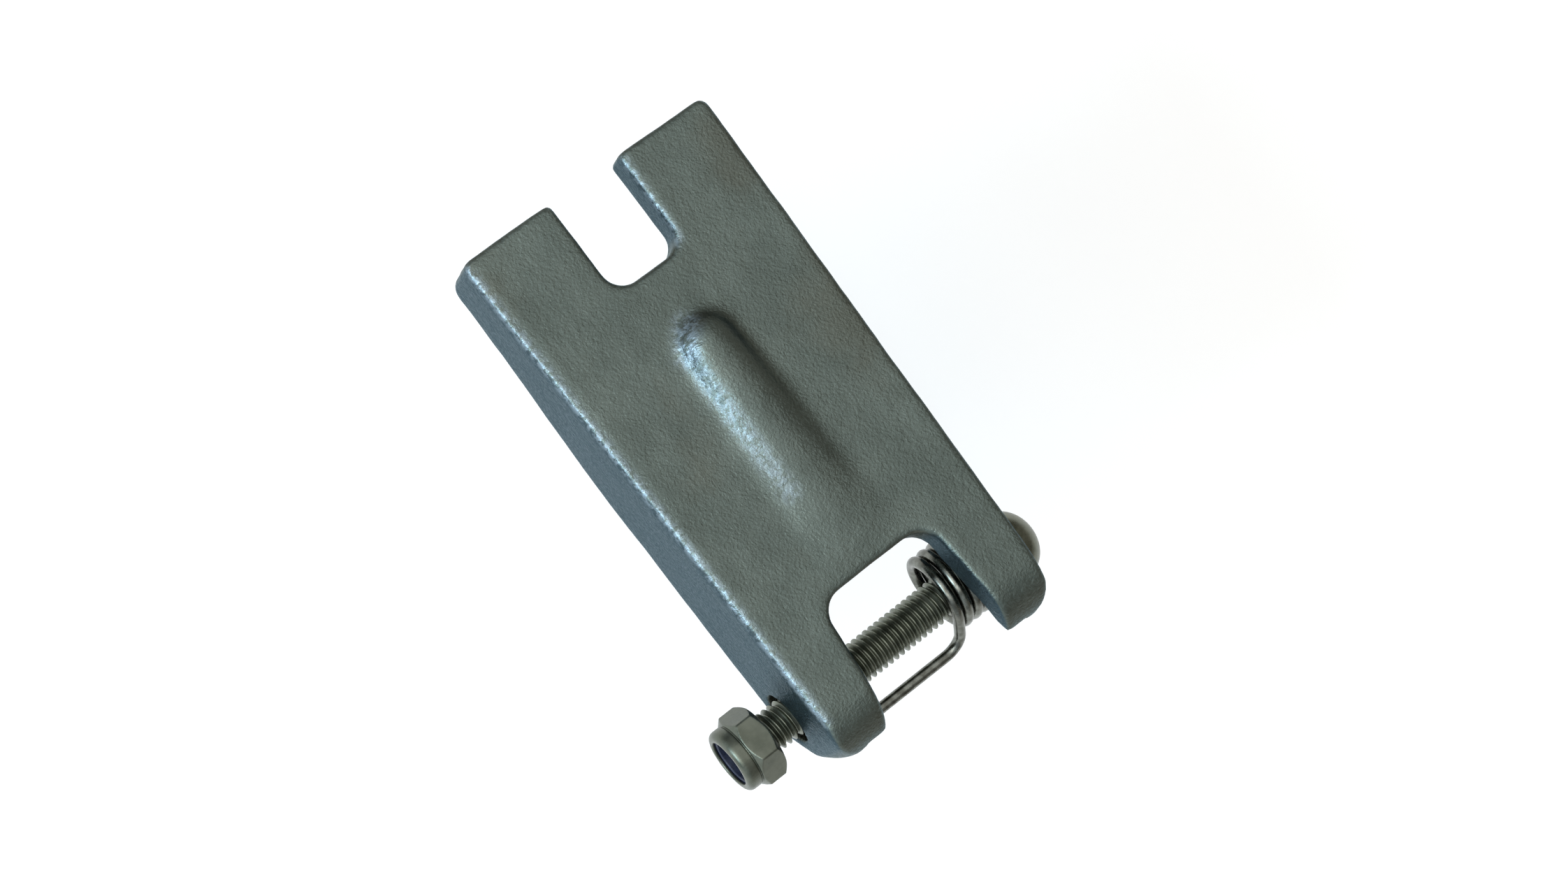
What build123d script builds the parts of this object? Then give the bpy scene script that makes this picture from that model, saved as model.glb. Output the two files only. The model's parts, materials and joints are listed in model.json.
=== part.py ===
"""Safety latch kit for a lifting hook: a forged latch, its pivot screw, a lock nut and a torsion spring.

Millimetres.  The origin is on the pivot axis, midway across the fork.
+X runs along the pivot screw towards its head, +Y from the pivot to the latch's tip,
and +Z is up, out of the latch's outer face.
"""
import os
from math import cos, radians, sin, tan

from build123d import *

# Latch, side view
tip_reach = 73.8            # pivot axis to tip
nose_reach = 9.3            # pivot axis to the end of the fork's ears
face_height = 14.3          # pivot axis to the outer face
rim_drop = 6.0              # pivot axis to the lowest point of the cheeks
tip_depth = 12.4            # outer face to the cheek's rim at the tip
rim_slope_end = (35.8, 18.2)                # distance from the tip, depth below the outer face
rim_bend = [(25.0, 16.6), (16.8, 14.4)]     # the same, where the rim climbs towards the tip
rim_tip_direction = (1.0, 0.1)              # the rim's slope at the tip
heel_reach = 3.2            # pivot axis to the lowest corner of the ear
cheek_bulge = (7.2, -0.6)   # ear's lower curve: reach and height from the pivot axis
chin_height = 5.2           # where the ear's end turns down and in
nose_radius = 7.8
chin_radius = 5.0
bulge_radius = 6.0
heel_radius = 2.5
tip_corner_radius = 3.2

# Latch, plan view
tip_width = 41.5
pivot_width = 38.0
tip_plan_radius = 1.6
nose_plan_radius = 4.2
plate_thickness = 6.0
cheek_thickness = 4.0
root_radius = 1.6           # inside, between the plate and the cheeks
edge_radius = 1.0           # outer edges, as forged
notch_width = 11.0
notch_depth = 15.0
notch_radius = 3.0
fork_gap = 19.5             # at the pivot axis
fork_flare = 4.6            # degrees, each wall
crotch_reach = 9.8          # pivot axis to the bottom of the fork
crotch_radius = 3.4
pivot_bore_radius = 3.7

# Bead on the outer face
bead_start = 23.0           # tip to the bead's blunt end
bead_end = 61.0             # tip to where it has died away
bead_width = 9.0
bead_end_width = 12.6
bead_height = 3.0
bead_end_height = 0.25
bead_root = 1.0             # how far the bead's solid reaches into the plate

# Pivot screw, M6, threaded all the way: plain cylinder at the thread's outside
screw_radius = 3.0
head_gap = 1.3              # ear to the underside of the head
head_radius = 5.2
head_height = 4.9
head_rim = 0.5
screw_length = 45.7         # under the head
point_chamfer = 0.6
recess_width = 1.3
recess_length = 5.2
recess_depth = 2.2

# Lock nut, M6
nut_gap = 3.8               # ear to the nut's bearing face
nut_flats = 10.0
nut_hex_height = 3.9
nut_height = 6.1
nut_face_inset = 0.1        # flats to the round faces that the chamfers leave
nut_chamfer = 0.7
collar_radius = 4.75
collar_round = 0.9
collar_lip = 0.45
nut_angle = -9.5
thread_clearance = 0.05
ring_thickness = 1.6
ring_outer_radius = 3.95
ring_clearance = 0.05

# Torsion spring
wire_radius = 0.82
coil_radius = 5.3           # to the middle of the wire
coil_turn_gap = 0.06
coil_whole_turns = 3
coil_gap = 0.8              # coil to the inside of the right cheek
coil_offset = (0.8, 0.3)    # the coil hangs loose on the screw: Y and Z of its axis
bar_leave_angle = 148.0     # degrees round the coil, from +Y towards +Z, where the bar leg starts
plate_leave_angle = 98.0    # the same, for the leg under the plate
bar_reach = 6.9             # pivot axis to the bar leg
bar_gap = 1.5               # bar leg's end to the inside of the left cheek
bar_bend_radius = 3.0
plate_leg_reach = 21.0      # pivot axis to the end of the leg under the plate
plate_leg_gap = 0.35        # that leg to the plate
plate_bend_radius = 8.0

underside = face_height - plate_thickness
width_slope = (tip_width - pivot_width) / 2 / tip_reach
nose_half_width = pivot_width / 2 - width_slope * nose_reach
inner_half_width = pivot_width / 2 - cheek_thickness
beyond = 20.0               # how far cutting tools reach past the latch


def half_width(y):
    """Half the latch's width at a distance y from the pivot axis."""
    return pivot_width / 2 + width_slope * y


def fork_half_gap(y):
    """Half the fork's gap at a distance y from the pivot axis."""
    return fork_gap / 2 - tan(radians(fork_flare)) * y


def rim_point(station):
    """A point of the cheek's rim in the side view, from its distance to the tip and its depth."""
    return (tip_reach - station[0], face_height - station[1])


def bead_section(width, height):
    """The bead's section across the latch: a low arch on a straight-sided root."""
    with BuildSketch() as section:
        with BuildLine():
            ThreePointArc((-width / 2, face_height), (0, face_height + height), (width / 2, face_height))
            Polyline(
                (width / 2, face_height),
                (width / 2, face_height - bead_root),
                (-width / 2, face_height - bead_root),
                (-width / 2, face_height),
            )
        make_face()
    return section.sketch


# Latch: one forging, a plate between two cheeks, forked round the hook's lug
with BuildPart() as latch_body:
    with BuildSketch(Plane.YZ) as side_view:
        with BuildLine():
            heel = (-heel_reach, -rim_drop)
            rim_straight = Line(heel, rim_point(rim_slope_end))
            rim_curve = Spline(
                rim_point(rim_slope_end),
                *[rim_point(station) for station in rim_bend],
                (tip_reach, face_height - tip_depth),
                tangents=(rim_straight % 1, rim_tip_direction),
            )
            Polyline(
                rim_curve @ 1,
                (tip_reach, face_height),
                (-nose_reach, face_height),
                (-nose_reach, chin_height),
                (-cheek_bulge[0], cheek_bulge[1]),
                heel,
            )
        make_face()
        fillet(side_view.vertices().sort_by_distance((-nose_reach, face_height))[0], nose_radius)
        fillet(side_view.vertices().sort_by_distance((-nose_reach, chin_height))[0], chin_radius)
        fillet(side_view.vertices().sort_by_distance((-cheek_bulge[0], cheek_bulge[1]))[0], bulge_radius)
        fillet(side_view.vertices().sort_by_distance(heel)[0], heel_radius)
        fillet(side_view.vertices().sort_by_distance(rim_curve @ 1)[0], tip_corner_radius)
    extrude(amount=tip_width, both=True)

    with BuildSketch(Plane.XY.offset(-rim_drop - beyond)) as plan_view:
        with BuildLine():
            Polyline(
                (-nose_half_width, -nose_reach),
                (nose_half_width, -nose_reach),
                (half_width(tip_reach), tip_reach),
                (-half_width(tip_reach), tip_reach),
                close=True,
            )
        make_face()
        fillet(plan_view.vertices().group_by(Axis.Y)[0], nose_plan_radius)
        fillet(plan_view.vertices().group_by(Axis.Y)[-1], tip_plan_radius)
    extrude(amount=rim_drop + face_height + 2 * beyond, mode=Mode.INTERSECT)

    # Notch in the tip
    with BuildSketch(Plane.XY.offset(-rim_drop - beyond)) as notch:
        with Locations((0, tip_reach)):
            Rectangle(notch_width, 2 * notch_depth)
        fillet(notch.vertices().group_by(Axis.Y)[0], notch_radius)
    extrude(amount=rim_drop + face_height + 2 * beyond, mode=Mode.SUBTRACT)

    # Gap of the fork
    with BuildSketch(Plane.XY.offset(-rim_drop - beyond)) as fork:
        with BuildLine():
            Polyline(
                (-fork_half_gap(crotch_reach), crotch_reach),
                (fork_half_gap(crotch_reach), crotch_reach),
                (fork_half_gap(-nose_reach - beyond), -nose_reach - beyond),
                (-fork_half_gap(-nose_reach - beyond), -nose_reach - beyond),
                close=True,
            )
        make_face()
        fillet(fork.vertices().group_by(Axis.Y)[-1], crotch_radius)
    extrude(amount=rim_drop + face_height + 2 * beyond, mode=Mode.SUBTRACT)
    fillet(latch_body.edges(), edge_radius)

    # Hollow between the cheeks, open at both ends
    for y in (-nose_reach - beyond, tip_reach + beyond):
        with BuildSketch(Plane.XZ.offset(-y)) as hollow:
            with Locations((0, underside)):
                Rectangle(
                    2 * (half_width(y) - cheek_thickness),
                    underside + rim_drop + beyond,
                    align=(Align.CENTER, Align.MAX),
                )
            fillet(hollow.vertices().group_by(Axis.Z)[-1], root_radius)
    loft(mode=Mode.SUBTRACT)

    # Bead: a blunt round end, then an arch that widens and dies away towards the pivot
    bead_centre = tip_reach - bead_start - bead_width / 2
    with BuildSketch(Plane.XZ.offset(-bead_centre)):
        add(bead_section(bead_width, bead_height))
    with BuildSketch(Plane.XZ.offset(bead_end - tip_reach)):
        add(bead_section(bead_end_width, bead_end_height))
    loft()
    with BuildSketch(Plane.XZ.offset(-bead_centre)):
        add(bead_section(bead_width, bead_height))
        split(bisect_by=Plane.YZ)
    revolve(axis=Axis((0, bead_centre, 0), (0, 0, 1)), revolution_arc=180)

    # Pivot bores through both cheeks, loose on the screw
    with Locations(Plane.YZ):
        Cylinder(pivot_bore_radius, 2 * tip_width, mode=Mode.SUBTRACT)
latch_body.part.label = "latch_body"


# Pivot screw: domed head with a cross recess, shank threaded to its end
head_seat = pivot_width / 2 + head_gap
with BuildPart() as pivot_screw:
    with BuildSketch(Plane.XZ) as screw_half:
        with BuildLine():
            Polyline(
                (head_seat + head_rim, head_radius),
                (head_seat, head_radius),
                (head_seat, screw_radius),
                (head_seat - screw_length + point_chamfer, screw_radius),
                (head_seat - screw_length, screw_radius - point_chamfer),
                (head_seat - screw_length, 0),
                (head_seat + head_height, 0),
            )
            EllipticalCenterArc((head_seat + head_rim, 0), head_height - head_rim, head_radius, arc_size=90)
        make_face()
    revolve(axis=Axis.X)
    with BuildSketch(Plane.YZ.offset(head_seat + head_height)) as recess:
        Rectangle(recess_length, recess_width)
        Rectangle(recess_width, recess_length)
    extrude(amount=-recess_depth, mode=Mode.SUBTRACT)
pivot_screw.part.label = "pivot_screw"


# Lock nut: chamfered hexagon with a round collar rolled over the nylon ring
nut_seat = -pivot_width / 2 - nut_gap
nut_end = nut_seat - nut_height
ring_face = nut_end + collar_lip + ring_clearance
ring_back = ring_face + ring_thickness
nut_face_radius = nut_flats / 2 - nut_face_inset
nut_chamfer_radius = nut_flats / 2 + nut_chamfer
with BuildPart() as lock_nut:
    with BuildSketch(Plane.YZ.offset(nut_seat)) as hexagon:
        RegularPolygon(nut_flats / 2, 6, major_radius=False, rotation=nut_angle)
    extrude(amount=-nut_hex_height)
    with BuildSketch(Plane.XZ) as chamfer_half:
        with BuildLine():
            Polyline(
                (nut_seat, 0),
                (nut_seat, nut_face_radius),
                (nut_seat - nut_chamfer, nut_chamfer_radius),
                (nut_seat - nut_hex_height + nut_chamfer, nut_chamfer_radius),
                (nut_seat - nut_hex_height, nut_face_radius),
                (nut_seat - nut_hex_height, 0),
                close=True,
            )
        make_face()
    revolve(axis=Axis.X, mode=Mode.INTERSECT)
    with BuildSketch(Plane.XZ) as collar_half:
        with BuildLine():
            Polyline(
                (nut_seat - nut_hex_height, 0),
                (nut_seat - nut_hex_height, collar_radius),
                (nut_end, collar_radius),
                (nut_end, 0),
                close=True,
            )
        make_face()
        fillet(collar_half.vertices().sort_by_distance((nut_end, collar_radius))[0], collar_round)
    revolve(axis=Axis.X)
    with BuildSketch(Plane.XZ) as bore_half:
        with BuildLine():
            Polyline(
                (nut_seat, 0),
                (nut_seat, screw_radius + thread_clearance),
                (ring_back + ring_clearance, screw_radius + thread_clearance),
                (ring_back + ring_clearance, ring_outer_radius + ring_clearance),
                (nut_end + collar_lip, ring_outer_radius + ring_clearance),
                (nut_end + collar_lip, screw_radius + collar_lip),
                (nut_end, screw_radius + collar_lip),
                (nut_end, 0),
                close=True,
            )
        make_face()
    revolve(axis=Axis.X, mode=Mode.SUBTRACT)
lock_nut.part.label = "lock_nut"


# Nylon ring held in the nut's collar
with BuildPart() as nylon_ring:
    with BuildSketch(Plane.YZ.offset(ring_back)):
        Circle(ring_outer_radius)
        Circle(screw_radius + thread_clearance, mode=Mode.SUBTRACT)
    extrude(amount=-ring_thickness)
nylon_ring.part.label = "nylon_ring"


# Torsion spring: a coil on the screw, a bar leg across the fork and a leg under the plate
coil_pitch = 2 * wire_radius + coil_turn_gap
coil_turns = coil_whole_turns + (bar_leave_angle - plate_leave_angle) / 360
coil_right = inner_half_width - coil_gap - wire_radius
coil_left = coil_right - coil_pitch * coil_turns
leave = radians(bar_leave_angle)
coil_frame = Plane((coil_left, *coil_offset), x_dir=(0, cos(leave), sin(leave)), z_dir=(1, 0, 0))
coil_path = coil_frame * Helix(coil_pitch, coil_pitch * coil_turns, coil_radius, lefthand=True)

bar_start = coil_path @ 0
bar_slope = coil_path % 0
bar_corner = bar_start - bar_slope * ((bar_start.Y + bar_reach) / bar_slope.Y)
plate_start = coil_path @ 1
plate_slope = coil_path % 1
plate_leg_height = underside - plate_leg_gap - wire_radius
plate_corner = plate_start + plate_slope * ((plate_leg_height - plate_start.Z) / plate_slope.Z)
with BuildPart() as torsion_spring:
    with BuildSketch(Plane(bar_start, z_dir=bar_slope)):
        Circle(wire_radius)
    sweep(path=coil_path, is_frenet=True)
    with BuildLine() as bar_leg:
        FilletPolyline(
            bar_start,
            bar_corner,
            (bar_gap - inner_half_width, bar_corner.Y, bar_corner.Z),
            radius=bar_bend_radius,
        )
    with BuildSketch(Plane(bar_start, z_dir=bar_slope)):
        Circle(wire_radius)
    sweep(path=bar_leg.line)
    with BuildLine() as plate_leg:
        FilletPolyline(
            plate_start,
            plate_corner,
            (plate_corner.X, plate_leg_reach, plate_corner.Z),
            radius=plate_bend_radius,
        )
    with BuildSketch(Plane(plate_start, z_dir=plate_slope)):
        Circle(wire_radius)
    sweep(path=plate_leg.line)
torsion_spring.part.label = "torsion_spring"


os.makedirs("parts", exist_ok=True)
for node in (latch_body, pivot_screw, lock_nut, nylon_ring, torsion_spring):
    export_step(node.part, f"parts/{node.part.label}.step")
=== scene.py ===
"""A safety latch kit for a lifting hook.

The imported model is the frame. Lengths are metres. The origin is on the pivot axis, midway across the
fork, +X runs along the screw to its head, +Y to the latch's tip, and +Z out of the latch's outer face.
"""

import json
import logging
import math
from contextlib import contextmanager
from dataclasses import dataclass, field
from enum import Enum
from typing import Callable, Iterator, Sequence

import bpy
from mathutils import Matrix, Vector

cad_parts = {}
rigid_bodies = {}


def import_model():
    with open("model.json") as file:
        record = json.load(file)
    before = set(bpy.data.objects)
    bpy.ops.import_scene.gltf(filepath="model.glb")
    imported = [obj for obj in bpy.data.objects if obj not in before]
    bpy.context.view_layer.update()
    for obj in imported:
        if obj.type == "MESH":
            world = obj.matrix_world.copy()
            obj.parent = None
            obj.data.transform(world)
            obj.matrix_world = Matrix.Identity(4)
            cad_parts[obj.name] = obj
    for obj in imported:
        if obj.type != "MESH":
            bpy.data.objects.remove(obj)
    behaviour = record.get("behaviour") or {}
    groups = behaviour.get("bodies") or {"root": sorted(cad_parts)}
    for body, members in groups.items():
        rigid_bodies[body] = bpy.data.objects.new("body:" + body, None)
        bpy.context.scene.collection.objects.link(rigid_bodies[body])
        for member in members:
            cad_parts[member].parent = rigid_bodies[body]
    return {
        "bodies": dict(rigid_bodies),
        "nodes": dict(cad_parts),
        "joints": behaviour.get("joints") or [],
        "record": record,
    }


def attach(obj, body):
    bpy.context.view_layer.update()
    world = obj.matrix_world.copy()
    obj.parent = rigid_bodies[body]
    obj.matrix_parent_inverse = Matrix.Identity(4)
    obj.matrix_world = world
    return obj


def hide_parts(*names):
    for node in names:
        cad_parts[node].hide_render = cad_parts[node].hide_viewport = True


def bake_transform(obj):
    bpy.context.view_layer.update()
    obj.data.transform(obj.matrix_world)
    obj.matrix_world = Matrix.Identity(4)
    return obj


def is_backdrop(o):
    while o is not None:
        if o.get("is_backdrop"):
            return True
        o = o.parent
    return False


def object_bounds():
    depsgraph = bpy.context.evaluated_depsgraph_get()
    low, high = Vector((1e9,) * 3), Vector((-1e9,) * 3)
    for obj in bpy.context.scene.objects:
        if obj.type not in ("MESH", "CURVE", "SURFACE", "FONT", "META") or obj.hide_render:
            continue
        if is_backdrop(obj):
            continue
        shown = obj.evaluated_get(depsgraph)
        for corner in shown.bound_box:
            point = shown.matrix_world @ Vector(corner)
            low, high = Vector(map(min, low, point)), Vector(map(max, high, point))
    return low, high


log = logging.getLogger("latch_kit")

MM = 0.001
WELD = 0.000001          # points closer than this are one point
WEAR_AND_HIGHLIGHT = "wear_and_highlight"            # the mesh attribute for plating wear and painted highlight on the lit edges
SOFTEN = 0.5             # how far one smoothing step moves a point
MIDRANGE = (0.3, 0.7)    # where most of a noise's values lie

Pair = tuple[float, float]
Point = tuple[float, float, float]
Colour = tuple[float, float, float]
Socket = bpy.types.NodeSocket


class Body(Enum):
    PIVOT = "pivot"
    LATCH = "latch"
    CARRIER = "nut_carrier"
    NUT = "nut"


class Slot(Enum):
    LATCH = "latch"
    SCREW = "screw"
    NUT = "nut"
    RING = "ring"
    SPRING = "spring"


class Cut(Enum):
    """How a tool shape works on a piece."""

    SUBTRACT = "DIFFERENCE"
    JOIN = "UNION"
    KEEP = "INTERSECT"


# ---------------------------------------------------------------- workbench


def put_down() -> None:
    """Deselects everything."""
    for other in bpy.context.selected_objects:
        other.select_set(False)


def pick(obj: bpy.types.Object) -> None:
    """Deselects everything, then selects one object and makes it active.

    Args:
        obj: The object to work on.
    """
    put_down()
    obj.select_set(True)
    bpy.context.view_layer.objects.active = obj


@contextmanager
def editing(obj: bpy.types.Object, everything: bool = True) -> Iterator[None]:
    """Edit mode on one object, with all of it selected or as its selection stands.

    Args:
        obj: The object to edit.
        everything: Whether to select the whole mesh first.
    """
    pick(obj)
    bpy.ops.object.mode_set(mode="EDIT")
    if everything:
        bpy.ops.mesh.select_all(action="SELECT")
    try:
        yield
    finally:
        bpy.ops.object.mode_set(mode="OBJECT")


def settle(obj: bpy.types.Object) -> None:
    """Puts an object's place, turn and size into its mesh.

    Args:
        obj: The object, which ends up at the origin.
    """
    pick(obj)
    bpy.ops.object.transform_apply(location=True, rotation=True, scale=True)


def weld(obj: bpy.types.Object, outward: bool = True) -> None:
    """Merges points that lie on each other and turns the faces outwards.

    Args:
        obj: The mesh to weld.
        outward: Whether to work out the normals again.
    """
    with editing(obj):
        bpy.ops.mesh.remove_doubles(threshold=WELD)
        if outward:
            bpy.ops.mesh.normals_make_consistent(inside=False)


def apply_modifier(obj: bpy.types.Object, kind: str, **settings: object) -> None:
    """Adds a modifier, sets it and applies it.

    Args:
        obj: The piece.
        kind: The modifier's type.
        settings: The modifier's own properties.
    """
    pick(obj)
    modifier = obj.modifiers.new(kind.lower(), kind)
    for name, value in settings.items():
        setattr(modifier, name, value)
    bpy.ops.object.modifier_apply(modifier=modifier.name)


def combine(obj: bpy.types.Object, tool: bpy.types.Object, cut: Cut) -> None:
    """Works on a piece with a closed tool shape, and removes the tool.

    Args:
        obj: The piece.
        tool: The closed shape it is worked with.
        cut: What the tool does.
    """
    apply_modifier(obj, "BOOLEAN", operation=cut.value, object=tool, solver="EXACT")
    bpy.data.objects.remove(tool, do_unlink=True)


def draw_line(name: str, points: Sequence[Pair]) -> bpy.types.Object:
    """Draws an open line in the plane of the screw's axis and +Z.

    Args:
        name: The new object's name.
        points: Places along the screw's axis and distances from it, in millimetres.

    Returns:
        A mesh of one line of edges.
    """
    first = Vector((points[0][0], 0, points[0][1])) * MM
    put_down()
    bpy.ops.mesh.primitive_plane_add(size=MM, location=first)
    line = bpy.context.active_object
    line.name = name
    with editing(line):
        bpy.ops.mesh.merge(type="CENTER")
        for before, after in zip(points, points[1:]):
            step = Vector((after[0] - before[0], 0, after[1] - before[1])) * MM
            bpy.ops.mesh.extrude_vertices_move(TRANSFORM_OT_translate={"value": step})
    settle(line)
    return line


def turn(name: str, points: Sequence[Pair], steps: int) -> bpy.types.Object:
    """Turns a half section about the screw's axis, as on a lathe.

    Args:
        name: The new object's name.
        points: Places along the axis and distances from it, in millimetres.
        steps: Flats round the circle.

    Returns:
        The turned mesh, closed where the section starts and ends on the axis or on itself.
    """
    blank = draw_line(name, points)
    with editing(blank):
        bpy.ops.mesh.spin(steps=steps, angle=math.tau, center=(0, 0, 0), axis=(1, 0, 0))
    weld(blank)
    return blank


def arc(centre: Pair, radii: Pair, span: Pair, steps: int) -> list[Pair]:
    """Points of an elliptic arc in a half section.

    Args:
        centre: The arc's centre, along the axis and away from it.
        radii: Its radii in the same two directions.
        span: First and last angle in degrees, from the axis direction.
        steps: How many runs the arc is divided into.

    Returns:
        The arc's points, first and last included.
    """
    out = []
    for count in range(steps + 1):
        angle = math.radians(span[0] + (span[1] - span[0]) * count / steps)
        out.append((centre[0] + radii[0] * math.cos(angle), centre[1] + radii[1] * math.sin(angle)))
    return out


def smooth(obj: bpy.types.Object, strokes: int, group: str = "") -> None:
    """Smooths a piece's mesh.

    Args:
        obj: The piece.
        strokes: How many smoothing steps it gets.
        group: The mark that limits them, or none for the whole piece.
    """
    apply_modifier(obj, "SMOOTH", factor=SOFTEN, iterations=strokes, vertex_group=group)


def remesh(obj: bpy.types.Object, voxel: float) -> None:
    """Rebuilds a piece's mesh from small even cells.

    Args:
        obj: The piece.
        voxel: The side of a cell in metres.
    """
    apply_modifier(obj, "REMESH", mode="VOXEL", voxel_size=voxel, use_smooth_shade=True)


def round_over(obj: bpy.types.Object, angle: float) -> None:
    """Shades a piece smooth, with its sharper edges left crisp.

    Args:
        obj: The piece.
        angle: The sharpest edge that is shaded smooth, in degrees.
    """
    pick(obj)
    bpy.ops.object.shade_smooth_by_angle(angle=math.radians(angle))


def hand_over(obj: bpy.types.Object, replaces: str, material: bpy.types.Material) -> None:
    """Dresses a finished piece and says which CAD node it stands for.

    Args:
        obj: The piece.
        replaces: The CAD node it replaces.
        material: Its finish.
    """
    obj.data.materials.clear()
    obj.data.materials.append(material)
    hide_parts(replaces)
    log.info("%s: %d faces, stands for %s", obj.name, len(obj.data.polygons), replaces)


# ---------------------------------------------------------------- finishes


class Recipe:
    """A material under construction, with one principled shader."""

    def __init__(self, name: str) -> None:
        """Starts an empty material.

        Args:
            name: The material's name.
        """
        self.material = bpy.data.materials.new(name)
        self.material.use_nodes = True
        self.tree = self.material.node_tree
        self.shader = self.tree.nodes["Principled BSDF"]
        self.place = self.tree.nodes.new("ShaderNodeTexCoord")

    def node(self, kind: str, **settings: object) -> bpy.types.Node:
        """Adds a node and sets its properties.

        Args:
            kind: The node's type, without its common prefix.
            settings: The node's own properties.

        Returns:
            The new node.
        """
        made = self.tree.nodes.new("ShaderNode" + kind)
        for name, value in settings.items():
            setattr(made, name, value)
        return made

    def join(self, source: Socket, target: Socket) -> None:
        """Links one socket to another.

        Args:
            source: The output it comes from.
            target: The input it goes to.
        """
        self.tree.links.new(source, target)

    def noise(self, grain: float, detail: float = 2.0, rough: float = 0.5,
              stretch: Point = (1.0, 1.0, 1.0), shift: float = 0.0) -> Socket:
        """Noise of a given grain size on the piece's own coordinates.

        Args:
            grain: The size of a blotch in metres.
            detail: Octaves of finer noise.
            rough: How strong the finer octaves are.
            stretch: Scale of the pattern along each direction.
            shift: Moves the pattern, so that two of a size differ.

        Returns:
            The noise's factor, from 0 to 1.
        """
        mapping = self.node("Mapping")
        mapping.inputs["Scale"].default_value = stretch
        mapping.inputs["Location"].default_value = (shift, shift, shift)
        self.join(self.place.outputs["Object"], mapping.inputs["Vector"])
        noise = self.node("TexNoise")
        noise.inputs["Scale"].default_value = 1.0 / grain
        noise.inputs["Detail"].default_value = detail
        noise.inputs["Roughness"].default_value = rough
        self.join(mapping.outputs["Vector"], noise.inputs["Vector"])
        return noise.outputs["Fac"]

    def facing(self, direction: Point) -> Socket:
        """How far the piece's surface faces along a direction or against it.

        Args:
            direction: The direction, of length 1.

        Returns:
            1 where it faces that way and 0 where it lies along it.
        """
        facing = self.node("VectorMath", operation="DOT_PRODUCT")
        facing.inputs[1].default_value = direction
        self.join(self.place.outputs["Normal"], facing.inputs[0])
        amount = self.node("Math", operation="ABSOLUTE")
        self.join(facing.outputs["Value"], amount.inputs[0])
        return amount.outputs["Value"]

    def spread(self, source: Socket, span: Pair, result: Pair) -> Socket:
        """Maps a range of values onto another, clamped.

        Args:
            source: The value to map.
            span: Its range.
            result: The range it becomes.

        Returns:
            The mapped value.
        """
        ranged = self.node("MapRange", interpolation_type="SMOOTHSTEP")
        ranged.inputs["From Min"].default_value = span[0]
        ranged.inputs["From Max"].default_value = span[1]
        ranged.inputs["To Min"].default_value = result[0]
        ranged.inputs["To Max"].default_value = result[1]
        self.join(source, ranged.inputs["Value"])
        return ranged.outputs["Result"]

    def reckon(self, operation: str, first: Socket, second: Socket) -> Socket:
        """Works out one value from two.

        Args:
            operation: What is done with them, such as ADD or MULTIPLY.
            first: The first value.
            second: The second value.

        Returns:
            The result.
        """
        made = self.node("Math", operation=operation)
        self.join(first, made.inputs[0])
        self.join(second, made.inputs[1])
        return made.outputs["Value"]

    def attribute(self, name: str) -> Socket:
        """Reads a value that the piece's own mesh carries.

        Args:
            name: The mesh attribute's name.

        Returns:
            Its value.
        """
        return self.node("Attribute", attribute_name=name).outputs["Fac"]

    def tint(self, factor: Socket, low: Colour, high: Colour) -> Socket:
        """Mixes two colours by a factor.

        Args:
            factor: 0 for the first colour and 1 for the second.
            low: The first colour, linear.
            high: The second colour, linear.

        Returns:
            The mixed colour.
        """
        mix = self.node("Mix", data_type="RGBA")
        mix.inputs["A"].default_value = (*low, 1.0)
        mix.inputs["B"].default_value = (*high, 1.0)
        self.join(factor, mix.inputs["Factor"])
        return mix.outputs["Result"]

    def blend_in(self, factor: Socket, base: Socket, over: Colour) -> Socket:
        """Lays a colour over a varying one.

        Args:
            factor: How much of the new colour shows.
            base: The colour underneath.
            over: The colour laid over it, linear.

        Returns:
            The mixed colour.
        """
        mix = self.node("Mix", data_type="RGBA")
        mix.inputs["B"].default_value = (*over, 1.0)
        self.join(base, mix.inputs["A"])
        self.join(factor, mix.inputs["Factor"])
        return mix.outputs["Result"]

    def bump(self, height: Socket, depth: float, under: Socket | None = None) -> Socket:
        """Turns a height into a bumpy normal.

        Args:
            height: The height, from 0 to 1.
            depth: How deep 1 is, in metres.
            under: A normal that this one is laid on.

        Returns:
            The normal.
        """
        bump = self.node("Bump")
        bump.inputs["Strength"].default_value = 1.0
        bump.inputs["Distance"].default_value = depth
        self.join(height, bump.inputs["Height"])
        if under is not None:
            self.join(under, bump.inputs["Normal"])
        return bump.outputs["Normal"]

    def finish(self, colour: Socket, roughness: Socket, normal: Socket,
               metallic: float) -> bpy.types.Material:
        """Joins the results to the shader.

        Args:
            colour: The base colour.
            roughness: The roughness.
            normal: The bumpy normal.
            metallic: How metallic the finish is.

        Returns:
            The finished material.
        """
        self.join(colour, self.shader.inputs["Base Color"])
        self.join(roughness, self.shader.inputs["Roughness"])
        self.join(normal, self.shader.inputs["Normal"])
        self.shader.inputs["Metallic"].default_value = metallic
        return self.material


@dataclass(frozen=True)
class Grain:
    """One noise of a finish, at a size in metres."""

    size: float
    detail: float = 2.0
    rough: float = 0.5
    shift: float = 0.0

    def on(self, recipe: Recipe, stretch: Point = (1.0, 1.0, 1.0)) -> Socket:
        """Adds the noise to a material.

        Args:
            recipe: The material under construction.
            stretch: Scale of the pattern along each direction.

        Returns:
            The noise's factor, from 0 to 1.
        """
        return recipe.noise(self.size, self.detail, self.rough, stretch, self.shift)


@dataclass(frozen=True)
class Veil:
    """A colour that lies over part of a finish, where a value is high enough."""

    colour: Colour
    span: Pair
    most: float

    def over(self, recipe: Recipe, value: Socket, base: Socket) -> Socket:
        """Lays the colour over a varying one.

        Args:
            recipe: The material under construction.
            value: The value that decides where it shows.
            base: The colour underneath.

        Returns:
            The mixed colour.
        """
        return recipe.blend_in(recipe.spread(value, self.span, (0.0, self.most)), base, self.colour)


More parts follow.
